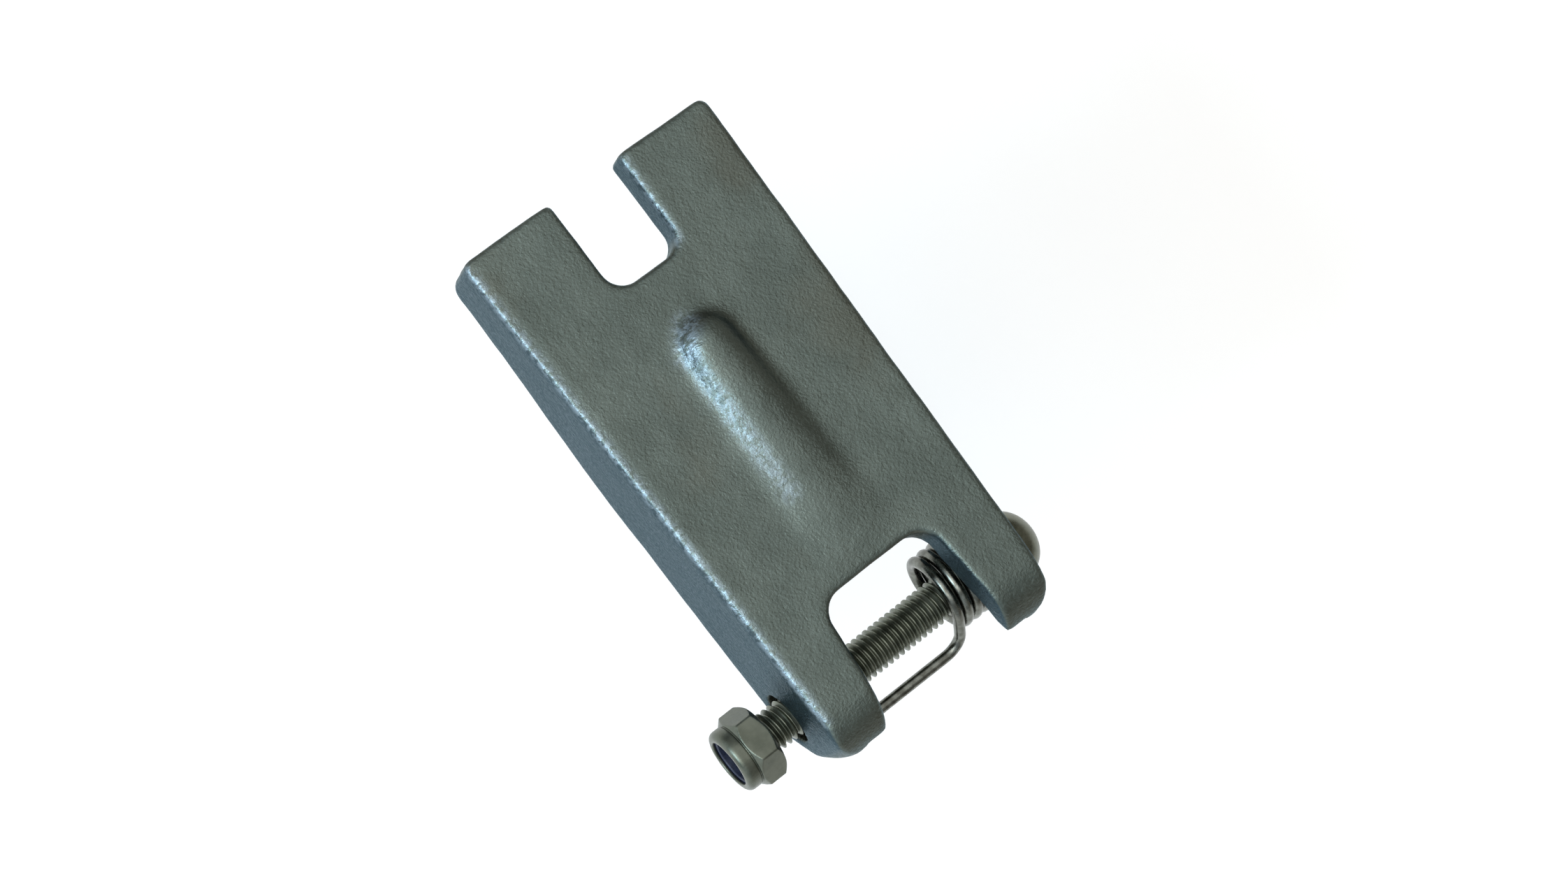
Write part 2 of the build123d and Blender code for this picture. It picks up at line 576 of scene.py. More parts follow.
@dataclass(frozen=True)
class ForgedZinc:
    """Dull zinc plating over a forging's pitted skin."""

    name: str = "zinc on forged steel"
    dark: Colour = (0.097, 0.116, 0.102)
    light: Colour = (0.139, 0.164, 0.145)
    # painted highlight with plating wear: a light blue-grey laid on the lit left edges and the bead's
    # left side
    bare_plating_and_highlight: Colour = (0.27, 0.33, 0.37)
    grazing: Colour = (0.61, 0.715, 0.77)
    tarnish: Veil = Veil((0.10, 0.092, 0.066), (0.55, 0.75), 0.35)
    # painted shade: faces turned along X, the cheeks' flanks and the inner walls, are darkened to
    # blue-grey
    side: Veil = Veil((0.026, 0.045, 0.057), (0.55, 0.95), 0.9)
    # painted dark reflection: faces turned along Y, the tip and the nose, are darkened to brown
    end: Veil = Veil((0.062, 0.058, 0.040), (0.35, 0.85), 0.8)
    cloud: Grain = Grain(0.009, detail=4.0, rough=0.6)
    speck: Grain = Grain(0.00040, rough=0.6, shift=0.013)
    blot: Grain = Grain(0.017, detail=5.0, shift=0.21)
    patch: Grain = Grain(0.0010, detail=3.0, rough=0.7, shift=0.4)
    pit: Grain = Grain(0.0012, detail=3.0, rough=0.65, shift=0.07)
    cloud_shade: Pair = (0.0, 0.6)
    sparkle_span: Pair = (0.45, 0.75)
    sparkle: Pair = (0.0, 0.4)
    patch_span: Pair = (0.40, 0.56)
    patch_share: Pair = (0.1, 0.9)
    speck_depth: float = 0.00011
    pit_depth: float = 0.00009
    roughness: Pair = (0.30, 0.48)
    metallic: float = 0.85

    def colour(self, recipe: Recipe, speck: Socket) -> Socket:
        """Mixes the plating's colour, with its tarnish, painted shade on its sides, a painted dark
        reflection on its ends, and painted highlight mixed with plating wear on its lit edges.

        Args:
            recipe: The material under construction.
            speck: The finest noise.

        Returns:
            The colour.
        """
        shade = recipe.spread(self.cloud.on(recipe), MIDRANGE, self.cloud_shade)
        sparkle = recipe.spread(speck, self.sparkle_span, self.sparkle)
        colour = recipe.tint(recipe.reckon("ADD", shade, sparkle), self.dark, self.light)
        colour = self.tarnish.over(recipe, self.blot.on(recipe), colour)
        # painted shade: darker blue-grey where the surface faces along X
        colour = self.side.over(recipe, recipe.facing((1.0, 0.0, 0.0)), colour)
        # painted dark reflection: darker brown where the surface faces along Y
        colour = self.end.over(recipe, recipe.facing((0.0, 1.0, 0.0)), colour)
        # plating wear and painted highlight: the lighter blue-grey goes where the strokes lie, broken
        # up in patches
        patch = recipe.spread(self.patch.on(recipe), self.patch_span, self.patch_share)
        wear_and_highlight_share = recipe.reckon("MULTIPLY", recipe.attribute(WEAR_AND_HIGHLIGHT), patch)
        return recipe.blend_in(wear_and_highlight_share, colour, self.bare_plating_and_highlight)

    def make(self) -> bpy.types.Material:
        """Builds the finish.

        Returns:
            The material.
        """
        recipe = Recipe(self.name)
        recipe.shader.inputs["Specular Tint"].default_value = (*self.grazing, 1.0)
        speck = self.speck.on(recipe)
        rough = recipe.spread(speck, MIDRANGE, self.roughness)
        normal = recipe.bump(self.pit.on(recipe), self.pit_depth)
        normal = recipe.bump(speck, self.speck_depth, under=normal)
        return recipe.finish(self.colour(recipe, speck), rough, normal, self.metallic)


@dataclass(frozen=True)
class SmoothZinc:
    """Zinc plating over machined or rolled steel."""

    name: str
    dark: Colour
    light: Colour
    cloud: Grain = Grain(0.0018, detail=4.0, rough=0.55)
    scratch: Grain = Grain(0.00009, detail=3.0, rough=0.7)
    scratch_depth: float = 0.000006
    stretch: Point = (1.0, 1.0, 1.0)
    mottle: Pair = (0.7, 1.3)
    roughness: Pair = (0.26, 0.42)
    metallic: float = 0.9

    def make(self) -> bpy.types.Material:
        """Builds the finish.

        Returns:
            The material.
        """
        recipe = Recipe(self.name)
        cloud = self.cloud.on(recipe)
        line = self.scratch.on(recipe, self.stretch)
        colour = recipe.tint(recipe.spread(cloud, MIDRANGE, (0.0, 1.0)), self.dark, self.light)
        rough = recipe.spread(recipe.reckon("ADD", cloud, line), self.mottle, self.roughness)
        normal = recipe.bump(line, self.scratch_depth)
        return recipe.finish(colour, rough, normal, self.metallic)


@dataclass(frozen=True)
class Nylon:
    """Dark blue nylon with a faint moulded skin."""

    name: str = "dark blue nylon"
    dark: Colour = (0.006, 0.009, 0.022)
    light: Colour = (0.012, 0.017, 0.040)
    skin: Grain = Grain(0.0003, detail=3.0)
    depth: float = 0.00001
    roughness: Pair = (0.38, 0.55)

    def make(self) -> bpy.types.Material:
        """Builds the finish.

        Returns:
            The material.
        """
        recipe = Recipe(self.name)
        skin = self.skin.on(recipe)
        colour = recipe.tint(recipe.spread(skin, MIDRANGE, (0.0, 1.0)), self.dark, self.light)
        rough = recipe.spread(skin, MIDRANGE, self.roughness)
        return recipe.finish(colour, rough, recipe.bump(skin, self.depth), 0.0)


# ---------------------------------------------------------------- pieces


@dataclass(frozen=True)
class Stroke:
    """A line on the latch along which its surface was worked, and for some lines its painted highlight
    laid, in millimetres.
    """

    start: Point
    end: Point
    reach: float
    strength: float = 1.0

    def weight(self, place: Vector) -> float:
        """How much of the work a point gets.

        Args:
            place: The point, in metres.

        Returns:
            The strength on the line, falling smoothly to 0 at its reach.
        """
        start = Vector(self.start) * MM
        along = Vector(self.end) * MM - start
        part = max(0.0, min(1.0, (place - start).dot(along) / along.length_squared))
        near = max(0.0, 1.0 - (place - start - along * part).length / (self.reach * MM))
        return self.strength * near ** 2 * (3.0 - 2.0 * near)


@dataclass
class Latch:
    """The forged latch: a plate between two cheeks, with a bead, a notch and a fork."""

    voxel: float = 0.43 * MM
    overall_smoothing: int = 5
    bead_smoothing: int = 26
    bead_half_width: float = 9.5 * MM
    bead_stretch: Pair = (9.0 * MM, 55.0 * MM)
    bead_floor: float = 14.1 * MM
    bead_fade: float = 3.0 * MM
    wave: Pair = (14.0 * MM, 0.28 * MM)
    hammer: Pair = (3.2 * MM, 0.10 * MM)
    burr: Pair = (0.9 * MM, 0.36 * MM)
    groove_depth: float = 0.10 * MM
    # these strokes set the burrs in the mesh, and also where the painted highlight with plating wear is
    # coloured
    burr_and_highlight_strokes: tuple[Stroke, ...] = (
        Stroke((-20.6, 73.0, 14.3), (-18.9, -3.0, 14.3), 1.9),
        Stroke((5.6, 73.0, 14.3), (5.2, 60.0, 14.3), 1.7),
        Stroke((-1.0, 50.2, 15.5), (-3.8, 46.5, 15.6), 3.0),
        Stroke((-3.8, 46.5, 15.6), (-3.6, 24.0, 14.9), 2.4, 0.5),
    )
    grooved: tuple[Stroke, ...] = (
        Stroke((-19.3, 72.0, 14.3), (-18.2, 30.0, 14.3), 0.9),
    )
    finish: ForgedZinc = field(default_factory=ForgedZinc)

    def copy_node(self, frame: dict) -> bpy.types.Object:
        """Copies the latch's CAD mesh and welds its loose triangles.

        Args:
            frame: The loaded frame.

        Returns:
            The copy.
        """
        node = frame["nodes"]["latch_body"]
        blank = bpy.data.objects.new("latch_forging", node.data.copy())
        bpy.context.collection.objects.link(blank)
        blank.matrix_world = Matrix.Identity(4)
        blank.data.transform(node.matrix_world)
        weld(blank, outward=False)
        return blank

    def soften_bead(self, blank: bpy.types.Object) -> None:
        """Smooths the bead into the plate, as a forging die leaves it.

        Args:
            blank: The latch.
        """
        near, far = self.bead_stretch

        def weight(place: Vector) -> float:
            """1 well inside the bead's surroundings, falling to 0 at their border."""
            inside = min(self.bead_half_width - abs(place.x), place.y - near, far - place.y)
            return min(1.0, inside / self.bead_fade) if place.z > self.bead_floor else 0.0

        self.mark(blank, "bead", weight)
        smooth(blank, self.bead_smoothing, "bead")

    def mark(self, blank: bpy.types.Object, name: str,
             weight: Callable[[Vector], float]) -> None:
        """Marks the part of the latch that a step works on.

        Args:
            blank: The latch.
            name: The mark's name.
            weight: How much of the step each point gets.
        """
        group = blank.vertex_groups.new(name=name)
        for vertex in blank.data.vertices:
            share = weight(vertex.co)
            if share > 0.0:
                group.add([vertex.index], share, "REPLACE")

    def beat(self, blank: bpy.types.Object, name: str, grain: float, depth: float,
             mark: str = "") -> None:
        """Sinks an uneven surface into the latch, and never raises it.

        Args:
            blank: The latch.
            name: The pattern's name.
            grain: The size of a dent in metres.
            depth: The deepest dent in metres.
            mark: The mark that limits it, or none for the whole latch.
        """
        pattern = bpy.data.textures.new(name, "CLOUDS")
        pattern.noise_scale = grain
        pattern.noise_depth = 2
        apply_modifier(blank, "DISPLACE", texture=pattern, strength=depth, mid_level=1.0,
                       texture_coords="LOCAL", vertex_group=mark)

    def burr_wear_and_highlight_weight(self, place: Vector) -> float:
        """How much a point of the latch gets burrs, plating wear and painted highlight, from 0 to 1."""
        return max(stroke.weight(place) for stroke in self.burr_and_highlight_strokes)

    def groove_weight(self, place: Vector) -> float:
        """How much of the trimming groove a point of the latch gets, from 0 to 1."""
        return max(stroke.weight(place) for stroke in self.grooved)

    def build(self, frame: dict) -> bpy.types.Object:
        """Builds and dresses the latch.

        Args:
            frame: The loaded frame.

        Returns:
            The latch.
        """
        blank = self.copy_node(frame)
        remesh(blank, self.voxel)
        smooth(blank, self.overall_smoothing)
        self.soften_bead(blank)
        self.beat(blank, "forging waves", *self.wave)
        self.beat(blank, "hammer scale", *self.hammer)
        self.mark(blank, "burr", self.burr_wear_and_highlight_weight)
        # the strokes' weights also carry the painted highlight with plating wear into the colour
        wear_and_highlight = blank.data.attributes.new(WEAR_AND_HIGHLIGHT, "FLOAT", "POINT")
        wear_and_highlight_share = [self.burr_wear_and_highlight_weight(vertex.co) for vertex in blank.data.vertices]
        wear_and_highlight.data.foreach_set("value", wear_and_highlight_share)
        self.beat(blank, "burrs", *self.burr, mark="burr")
        self.mark(blank, "groove", self.groove_weight)
        apply_modifier(blank, "DISPLACE", strength=-self.groove_depth, mid_level=0.0,
                       vertex_group="groove")
        blank.vertex_groups.clear()
        pick(blank)
        bpy.ops.object.shade_smooth()
        hand_over(blank, "latch_body", self.finish.make())
        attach(blank, Body.LATCH.value)
        return blank


@dataclass
class Thread:
    """A right-hand M6 thread along the screw's axis, in millimetres."""

    pitch: float = 1.0
    radius: float = 3.0
    depth: float = 0.61
    crest: float = 0.11
    root: float = 0.16
    ease: float = 0.03
    start: float = -31.0
    steps: int = 40

    def section(self, swell: float) -> list[Pair]:
        """One pitch of the thread from root to root, with eased corners.

        Args:
            swell: How far the whole section is moved out from the axis.

        Returns:
            The section's points.
        """
        outer = self.radius + swell
        inner = outer - self.depth
        middle = self.start + self.pitch / 2
        side = [
            (self.pitch / 2, inner),
            (self.pitch / 2 - self.root / 2 + self.ease, inner + self.ease / 4),
            (self.pitch / 2 - self.root / 2 - self.ease, inner + self.ease),
            (self.crest / 2 + self.ease, outer - self.ease),
            (self.crest / 2, outer),
        ]
        return [(middle - along, away) for along, away in side] + [
            (middle + along, away) for along, away in reversed(side)
        ]

    def rod(self, name: str, swell: float, first: float, last: float) -> bpy.types.Object:
        """A closed threaded rod between two stations of the axis.

        Args:
            name: The new object's name.
            swell: How much fatter than the screw the rod is, on its radius.
            first: Where the rod starts.
            last: Where it ends.

        Returns:
            The rod.
        """
        rod = draw_line(name, self.section(swell))
        turns = math.ceil(last - self.start) + 1
        apply_modifier(
            rod, "SCREW", axis="X", angle=math.tau, screw_offset=self.pitch * MM, iterations=turns,
            steps=self.steps, render_steps=self.steps, use_merge_vertices=False,
        )
        weld(rod)
        for station, toward in ((first, -1.0), (last, 1.0)):
            with editing(rod):
                bpy.ops.mesh.bisect(plane_co=(station * MM, 0, 0), plane_no=(toward, 0, 0),
                                    use_fill=True, clear_outer=True)
        weld(rod)
        return rod


@dataclass
class PivotScrew:
    """The pivot screw: a threaded shank with a chamfered point and a domed, cross-recessed head."""

    seat: float = 20.3
    point: float = -25.4
    point_chamfer: float = 0.6
    head_radius: float = 5.2
    head_height: float = 4.85
    head_rim: float = 0.5
    rim_round: float = 0.18
    recess_width: float = 1.3
    recess_length: float = 5.2
    recess_depth: float = 2.2
    recess_taper: float = 0.62
    recess_run: float = 0.5
    trim: float = 0.4
    steps: int = 72
    dome_steps: int = 18
    foot_steps: int = 4
    crisp: float = 32.0
    thread: Thread = field(default_factory=Thread)
    finish: SmoothZinc = SmoothZinc(
        "zinc on rolled thread", dark=(0.115, 0.125, 0.095), light=(0.20, 0.21, 0.165),
        stretch=(0.25, 1.0, 1.0),
    )

    def shank(self) -> bpy.types.Object:
        """The threaded shank, chamfered at its point and run under the head.

        Returns:
            The shank.
        """
        trim = self.trim
        shank = self.thread.rod("pivot_screw_threaded", 0.0, self.point - trim, self.seat + trim)
        outer = self.thread.radius + trim
        envelope = turn("screw_envelope", [
            (self.point, 0.0),
            (self.point, self.thread.radius - self.point_chamfer),
            (self.point + self.point_chamfer + trim, outer),
            (self.seat + trim / 2, outer),
            (self.seat + trim / 2, 0.0),
        ], self.steps)
        combine(shank, envelope, Cut.KEEP)
        return shank

    def head(self) -> bpy.types.Object:
        """The domed head with its cross recess.

        Returns:
            The head.
        """
        edge = self.rim_round
        dome = arc((self.seat + self.head_rim, 0.0),
                   (self.head_height - self.head_rim, self.head_radius), (90.0, 0.0), self.dome_steps)
        foot = arc((self.seat + edge, self.head_radius - edge), (edge, edge), (180.0, 90.0),
                   self.foot_steps)
        section = [(self.seat, 0.0), *foot, *dome[:-1], (dome[-1][0], 0.0)]
        head = turn("screw_head", section, self.steps)
        combine(head, self.wing(self.recess_length, self.recess_width), Cut.SUBTRACT)
        combine(head, self.wing(self.recess_width, self.recess_length), Cut.SUBTRACT)
        return head

    def wing(self, length: float, width: float) -> bpy.types.Object:
        """One tapered wing of the recess's driver.

        Args:
            length: Its size along the latch.
            width: Its size across it.

        Returns:
            The wing.
        """
        top = self.seat + self.head_height + self.recess_run
        tall = self.recess_depth + self.recess_run
        bpy.ops.mesh.primitive_cube_add(size=1.0, location=((top - tall / 2) * MM, 0, 0))
        wing = bpy.context.active_object
        wing.scale = Vector((tall, length, width)) * MM
        settle(wing)
        floor = min(vertex.co.x for vertex in wing.data.vertices)
        for vertex in wing.data.vertices:
            vertex.select = vertex.co.x < floor + WELD
        with editing(wing, everything=False):
            bpy.ops.transform.resize(value=(1.0, self.recess_taper, self.recess_taper))
        return wing

    def build(self) -> bpy.types.Object:
        """Builds and dresses the screw.

        Returns:
            The screw.
        """
        screw = self.shank()
        combine(screw, self.head(), Cut.JOIN)
        weld(screw)
        round_over(screw, self.crisp)
        hand_over(screw, "pivot_screw", self.finish.make())
        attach(screw, Body.PIVOT.value)
        return screw


@dataclass
class LockNut:
    """The lock nut: a chamfered hexagon and a round collar rolled over the nylon ring."""

    seat: float = -22.8
    flats: float = 10.0
    hex_height: float = 3.9
    height: float = 6.1
    face_radius: float = 4.9
    chamfer: float = 0.7
    collar_radius: float = 4.75
    collar_round: float = 0.9
    collar_lip: float = 0.45
    collar_neck: float = 0.25
    collar_root: float = 0.4
    angle: float = -9.5
    ring_depth: float = 1.7
    ring_pocket: float = 4.0
    mouth_radius: float = 3.45
    mouth_flare: float = 0.12
    bore_swell: float = 0.16
    bore_end: float = 1.2
    bore_chamfer: float = 0.35
    beyond: float = 1.0
    voxel: float = 0.095 * MM
    smoothing: int = 3
    steps: int = 72
    lip_steps: int = 8
    thread: Thread = field(default_factory=Thread)
    finish: SmoothZinc = SmoothZinc(
        "zinc on nut", dark=(0.090, 0.098, 0.076), light=(0.140, 0.148, 0.117),
        cloud=Grain(0.0026, detail=4.0, rough=0.55),
    )

    def hexagon(self) -> bpy.types.Object:
        """The hexagon with its corners chamfered on both sides.

        Returns:
            The hexagon.
        """
        put_down()
        middle = self.seat - self.hex_height / 2
        bpy.ops.mesh.primitive_cylinder_add(
            vertices=6, radius=self.flats / math.sqrt(3) * MM, depth=self.hex_height * MM,
            location=(middle * MM, 0, 0), rotation=(0, math.pi / 2, 0),
        )
        block = bpy.context.active_object
        block.name = "lock_nut_finished"
        settle(block)
        corner = max(block.data.vertices, key=lambda vertex: vertex.co.y).co
        now = math.atan2(corner.z, corner.y)
        block.matrix_world = Matrix.Rotation(math.radians(self.angle) - now, 4, "X")
        settle(block)
        far = self.seat - self.hex_height
        wide = self.flats / 2 + self.chamfer
        cone = turn("nut_chamfer", [
            (self.seat, 0.0),
            (self.seat, self.face_radius),
            (self.seat - self.chamfer, wide),
            (far + self.chamfer, wide),
            (far, self.face_radius),
            (far, 0.0),
        ], self.steps)
        combine(block, cone, Cut.KEEP)
        return block

    def collar(self) -> bpy.types.Object:
        """The round collar, with its lip rolled in.

        Returns:
            The collar.
        """
        end = self.seat - self.height
        root = self.seat - self.hex_height
        lip = arc((end + self.collar_round, self.collar_radius - self.collar_round),
                  (self.collar_round, self.collar_round), (90.0, 180.0), self.lip_steps)
        neck = self.collar_radius - self.collar_neck
        return turn("nut_collar", [
            (root + self.collar_root, 0.0),
            (root + self.collar_root, neck),
            (root, neck),
            (root - self.collar_neck, self.collar_radius),
            *lip,
            (end, 0.0),
        ], self.steps)

    def pocket(self) -> bpy.types.Object:
        """The mouth and the pocket that the nylon ring sits in.

        Returns:
            The tool that cuts both.
        """
        end = self.seat - self.height
        lip = end + self.collar_lip
        back = lip + self.ring_depth
        return turn("nut_pocket", [
            (end - self.beyond, 0.0),
            (end - self.beyond, self.mouth_radius + self.mouth_flare),
            (end, self.mouth_radius + self.mouth_flare),
            (end + self.mouth_flare, self.mouth_radius),
            (lip, self.mouth_radius),
            (lip, self.ring_pocket),
            (back, self.ring_pocket),
            (back, 0.0),
        ], self.steps)

    def countersink(self) -> bpy.types.Object:
        """The bore's chamfer at the bearing face.

        Returns:
            The tool that cuts it.
        """
        wide = self.thread.radius + self.bore_chamfer
        deep = self.bore_chamfer * 2
        return turn("nut_countersink", [
            (self.seat + self.beyond, 0.0),
            (self.seat + self.beyond, wide + self.beyond),
            (self.seat - deep, wide - deep),
            (self.seat - deep, 0.0),
        ], self.steps)

    def build(self) -> bpy.types.Object:
        """Builds and dresses the nut.

        Returns:
            The nut.
        """
        nut = self.hexagon()
        combine(nut, self.collar(), Cut.JOIN)
        combine(nut, self.pocket(), Cut.SUBTRACT)
        bore = self.thread.rod("nut_bore", self.bore_swell, self.seat - self.height + self.bore_end,
                               self.seat + self.beyond)
        combine(nut, bore, Cut.SUBTRACT)
        combine(nut, self.countersink(), Cut.SUBTRACT)
        remesh(nut, self.voxel)
        smooth(nut, self.smoothing)
        pick(nut)
        bpy.ops.object.shade_smooth()
        hand_over(nut, "lock_nut", self.finish.make())
        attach(nut, Body.NUT.value)
        return nut


@dataclass
class NylonRing:
    """The nylon ring in the nut's collar."""

    face: float = -28.4
    thickness: float = 1.6
    bore: float = 3.05
    radius: float = 3.95
    ease: float = 0.22
    steps: int = 72
    ease_steps: int = 5
    crisp: float = 40.0
    finish: Nylon = field(default_factory=Nylon)

    def build(self) -> bpy.types.Object:
        """Turns and dresses the ring.

        Returns:
            The ring.
        """
        back = self.face + self.thickness
        ease = self.ease
        inner = arc((self.face + ease, self.bore + ease), (ease, ease), (270.0, 180.0),
                    self.ease_steps)
        outer = arc((self.face + ease, self.radius - ease), (ease, ease), (180.0, 90.0),
                    self.ease_steps)
        ring = turn("nylon_ring_moulded", [
            (back, self.bore), *inner, *outer, (back, self.radius), (back, self.bore),
        ], self.steps)
        round_over(ring, self.crisp)
        hand_over(ring, "nylon_ring", self.finish.make())
        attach(ring, Body.CARRIER.value)
        return ring


@dataclass
class TorsionSpring:
    """The torsion spring: a coil on the screw, a bar leg across the fork and a leg under the plate."""

    wire: float = 0.82
    radius: float = 5.3
    left: float = 8.04
    pitch: float = 1.70
    turns: float = 3.1389
    centre: Pair = (0.8, 0.3)
    leave: float = 148.0
    bar_reach: float = 6.9
    bar_end: float = -13.5
    bar_bend: float = 3.0
    plate_height: float = 7.13
    plate_end: float = 21.0
    plate_bend: float = 8.0
    per_turn: int = 56
    bend_steps: int = 16
    sides: int = 5
    crisp: float = 40.0
    finish: SmoothZinc = SmoothZinc(
        "drawn spring wire", dark=(0.09, 0.09, 0.075), light=(0.20, 0.205, 0.18),
        cloud=Grain(0.0012, detail=4.0, rough=0.55), roughness=(0.16, 0.30), metallic=1.0,
    )

    def coil_point(self, part: float) -> Vector:
        """A point of the coil's centre line.

        Args:
            part: How far along the coil, from 0 to 1.

        Returns:
            The point, in millimetres.
        """
        angle = math.radians(self.leave) - math.tau * self.turns * part
        across = self.left + self.pitch * self.turns * part
        return Vector((across, self.centre[0] + self.radius * math.cos(angle),
                       self.centre[1] + self.radius * math.sin(angle)))

    def coil_slope(self, part: float) -> Vector:
        """The coil's direction at a point, from the bar leg towards the plate leg.

        Args:
            part: How far along the coil, from 0 to 1.

        Returns:
            The direction, of length 1.
        """
        nudge = 0.0001
        return (self.coil_point(part + nudge) - self.coil_point(part - nudge)).normalized()

    def bend(self, start: Vector, corner: Vector, end: Vector, radius: float) -> list[Vector]:
        """A leg of two runs with a round bend between them.

        Args:
            start: Where the leg leaves the coil.
            corner: Where its runs would meet.
            end: The leg's end.
            radius: The bend's radius.

        Returns:
            The leg's points after its start.
        """
        into = (corner - start).normalized()
        out = (end - corner).normalized()
        swing = into.angle(out)
        setback = radius * math.tan(swing / 2)
        first = corner - into * setback
        inward = (out - into * out.dot(into)).normalized()
        middle = first + inward * radius
        points = []
        for count in range(self.bend_steps + 1):
            angle = swing * count / self.bend_steps
            points.append(middle + (into * math.sin(angle) - inward * math.cos(angle)) * radius)
        return points + [end]

    def line(self) -> list[Vector]:
        """The wire's whole centre line, from the bar leg's end to the plate leg's end.

        Returns:
            The points, in millimetres.
        """
        start = self.coil_point(0.0)
        slope = self.coil_slope(0.0)
        corner = start - slope * ((start.y + self.bar_reach) / slope.y)
        bar = self.bend(start, corner, Vector((self.bar_end, corner.y, corner.z)), self.bar_bend)
        count = round(self.per_turn * self.turns)
        coil = [self.coil_point(step / count) for step in range(count + 1)]
        finish = self.coil_point(1.0)
        slope = self.coil_slope(1.0)
        corner = finish + slope * ((self.plate_height - finish.z) / slope.z)
        plate = self.bend(finish, corner, Vector((corner.x, self.plate_end, corner.z)), self.plate_bend)
        return list(reversed(bar)) + coil + plate

    def bent_wire(self) -> bpy.types.Object:
        """Bends round wire along the spring's centre line.

        Returns:
            The wire, as a mesh.
        """
        points = self.line()
        path = bpy.data.curves.new("torsion_spring_wire", "CURVE")
        path.dimensions = "3D"
        path.bevel_depth = self.wire * MM
        path.bevel_resolution = self.sides
        path.use_fill_caps = True
        spline = path.splines.new("POLY")
        spline.points.add(len(points) - 1)
        for target, point in zip(spline.points, points):
            target.co = (*(point * MM), 1.0)
        wire = bpy.data.objects.new("torsion_spring_wire", path)
        bpy.context.collection.objects.link(wire)
        pick(wire)
        bpy.ops.object.convert(target="MESH")
        wire = bpy.context.active_object
        weld(wire)
        return wire

    def build(self) -> bpy.types.Object:
        """Bends and dresses the wire.

        Returns:
            The spring.
        """
        wire = self.bent_wire()
        round_over(wire, self.crisp)
        hand_over(wire, "torsion_spring", self.finish.make())
        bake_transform(wire)
        return wire


# ---------------------------------------------------------------- studio


@dataclass(frozen=True)
class Lamp:
    """A soft square light that shines on the latch, its power in watts."""

    name: str
    place: Point
    size: float
    power: float
    colour: Colour
    target: Point = (0.0, 0.03, 0.0)

    def hang(self) -> None:
        """Adds the light to the scene."""
        data = bpy.data.lights.new(self.name, "AREA")
        data.size = self.size
        data.energy = self.power
        data.color = self.colour
        lamp = bpy.data.objects.new(self.name, data)
        aim = (Vector(self.target) - Vector(self.place)).to_track_quat("-Z", "Y")
        lamp.matrix_world = Matrix.Translation(self.place) @ aim.to_matrix().to_4x4()
        bpy.context.collection.objects.link(lamp)


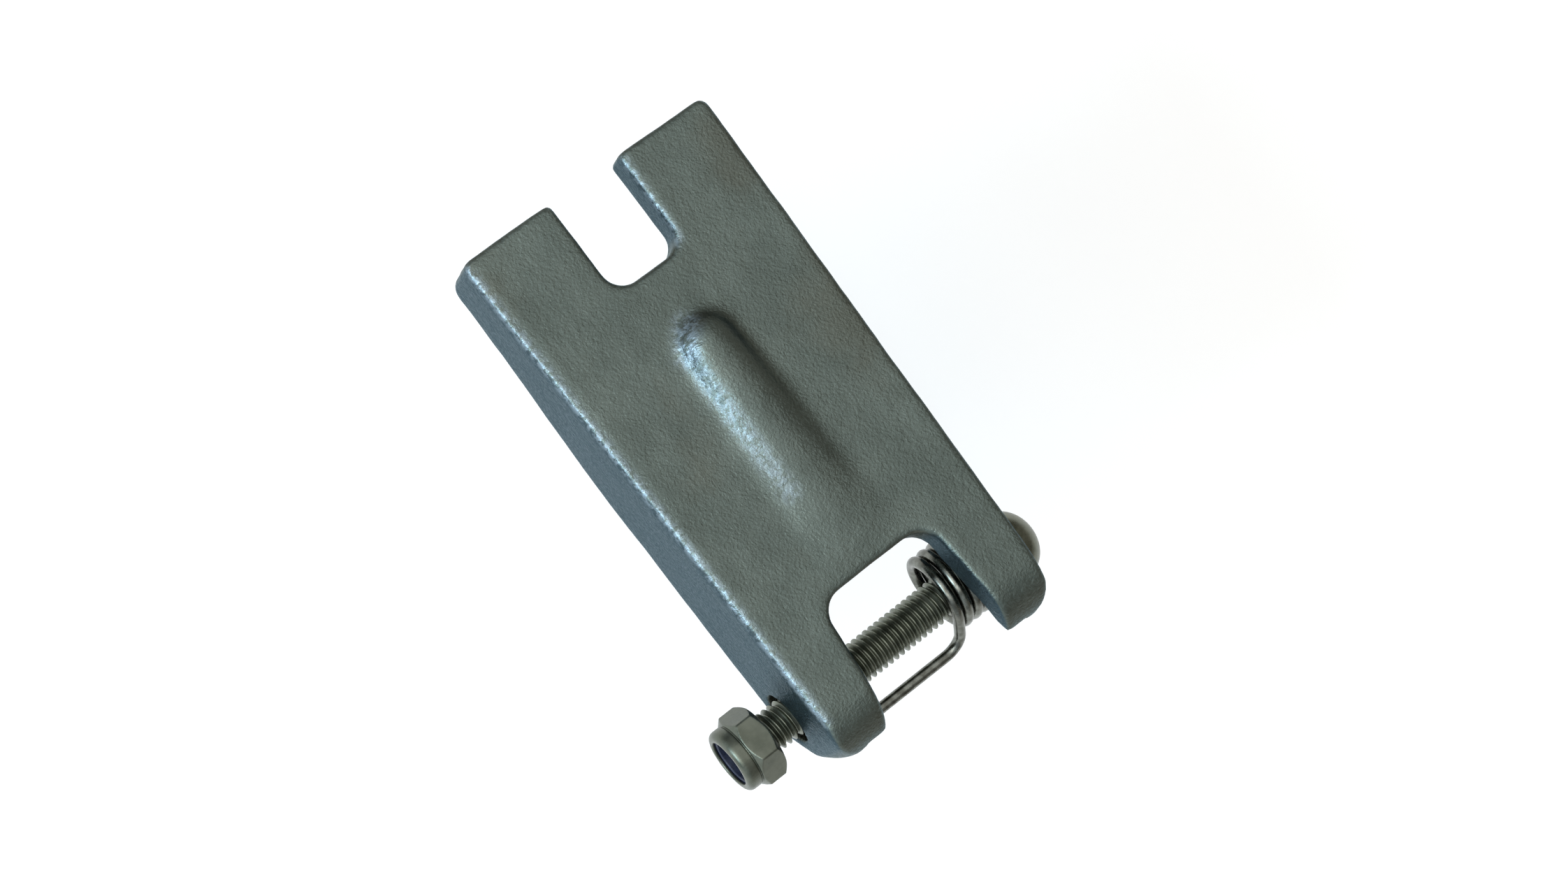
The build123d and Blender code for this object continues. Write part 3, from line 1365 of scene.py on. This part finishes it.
@dataclass
class Studio:
    """A pale floor, soft lights and the camera."""

    camera_place: Point = (-0.1199, 0.0253, 0.4136)
    camera_forward: Point = (0.288, 0.0111, -0.9575)
    camera_up: Point = (0.5751, 0.7971, 0.1824)
    lens: float = 72.5
    sensor: float = 36.0
    clip: float = 0.01
    floor_size: float = 6.0
    floor_drop: float = 0.0712
    floor_colour: Colour = (0.92, 0.92, 0.92)
    floor_glow: Colour = (0.16, 0.12, 0.09)
    floor_roughness: float = 0.9
    sky_from: Point = (-0.93, 0.12, 0.34)
    sky_dark: Colour = (0.25, 0.225, 0.185)
    sky_bright: Colour = (0.70, 0.80, 0.88)
    sky_start: float = -0.6
    lamps: tuple[Lamp, ...] = (
        Lamp("side light", (-0.60, 0.10, 0.36), 0.28, 2.7, (0.60, 0.83, 1.0)),
        Lamp("floor light", (-0.75, 0.0, 0.95), 0.9, 5.0, (1.0, 0.99, 0.97)),
        Lamp("fill light", (0.0, 0.10, 1.20), 1.6, 5.9, (1.0, 0.99, 0.97)),
    )

    def camera(self) -> None:
        """Places the camera."""
        forward = Vector(self.camera_forward).normalized()
        right = forward.cross(Vector(self.camera_up)).normalized()
        up = right.cross(forward)
        turn_matrix = Matrix((right, up, -forward)).transposed()
        data = bpy.data.cameras.new("camera")
        data.lens = self.lens
        data.sensor_width = self.sensor
        data.clip_start = self.clip
        camera = bpy.data.objects.new("camera", data)
        camera.matrix_world = Matrix.Translation(self.camera_place) @ turn_matrix.to_4x4()
        bpy.context.collection.objects.link(camera)
        bpy.context.scene.camera = camera

    def floor(self) -> None:
        """Lays the floor just below the lowest place that the latch's tip swings to."""
        put_down()
        bpy.ops.mesh.primitive_plane_add(size=self.floor_size, location=(0, 0, -self.floor_drop))
        floor = bpy.context.active_object
        floor.name = "floor"
        material = bpy.data.materials.new("pale floor")
        material.use_nodes = True
        shader = material.node_tree.nodes["Principled BSDF"]
        shader.inputs["Base Color"].default_value = (*self.floor_colour, 1.0)
        shader.inputs["Roughness"].default_value = self.floor_roughness
        shader.inputs["Emission Color"].default_value = (*self.floor_glow, 1.0)
        shader.inputs["Emission Strength"].default_value = 1.0
        floor.data.materials.append(material)
        floor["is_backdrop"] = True

    def world(self) -> None:
        """Sets the light round the object, brighter on the nut's side."""
        world = bpy.data.worlds.new("studio")
        world.use_nodes = True
        tree = world.node_tree
        direction = tree.nodes.new("ShaderNodeTexCoord")
        facing = tree.nodes.new("ShaderNodeVectorMath")
        facing.operation = "DOT_PRODUCT"
        facing.inputs[1].default_value = Vector(self.sky_from).normalized()
        fade = tree.nodes.new("ShaderNodeMapRange")
        fade.interpolation_type = "SMOOTHSTEP"
        fade.inputs["From Min"].default_value = self.sky_start
        mix = tree.nodes.new("ShaderNodeMix")
        mix.data_type = "RGBA"
        mix.inputs["A"].default_value = (*self.sky_dark, 1.0)
        mix.inputs["B"].default_value = (*self.sky_bright, 1.0)
        tree.links.new(direction.outputs["Generated"], facing.inputs[0])
        tree.links.new(facing.outputs["Value"], fade.inputs["Value"])
        tree.links.new(fade.outputs["Result"], mix.inputs["Factor"])
        tree.links.new(mix.outputs["Result"], tree.nodes["Background"].inputs["Color"])
        bpy.context.scene.world = world

    def build(self) -> None:
        """Sets up the studio."""
        self.camera()
        self.floor()
        self.world()
        for lamp in self.lamps:
            lamp.hang()
        bpy.context.scene.view_settings.view_transform = "Standard"
        log.info("studio: camera, floor and lights")


# ---------------------------------------------------------------- assembly


def plain(box: Sequence[Sequence[float]]) -> list[list[float]]:
    """Turns a box's corners into plain lists of numbers.

    Args:
        box: The box's lowest and highest corner.

    Returns:
        The same corners as lists.
    """
    return [[float(value) for value in corner] for corner in box]


def main(frame: dict, cad_box: list[list[float]]) -> None:
    """Args:
        frame: The loaded frame.
        cad_box: The CAD model's box. Not used.
    """
    logging.basicConfig(level=logging.INFO, format="%(name)s: %(message)s")
    Studio().build()
    Latch().build(frame)
    PivotScrew().build()
    LockNut().build()
    NylonRing().build()
    TorsionSpring().build()


if __name__ == "__main__":
    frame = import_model()
    main(frame, plain(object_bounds()))
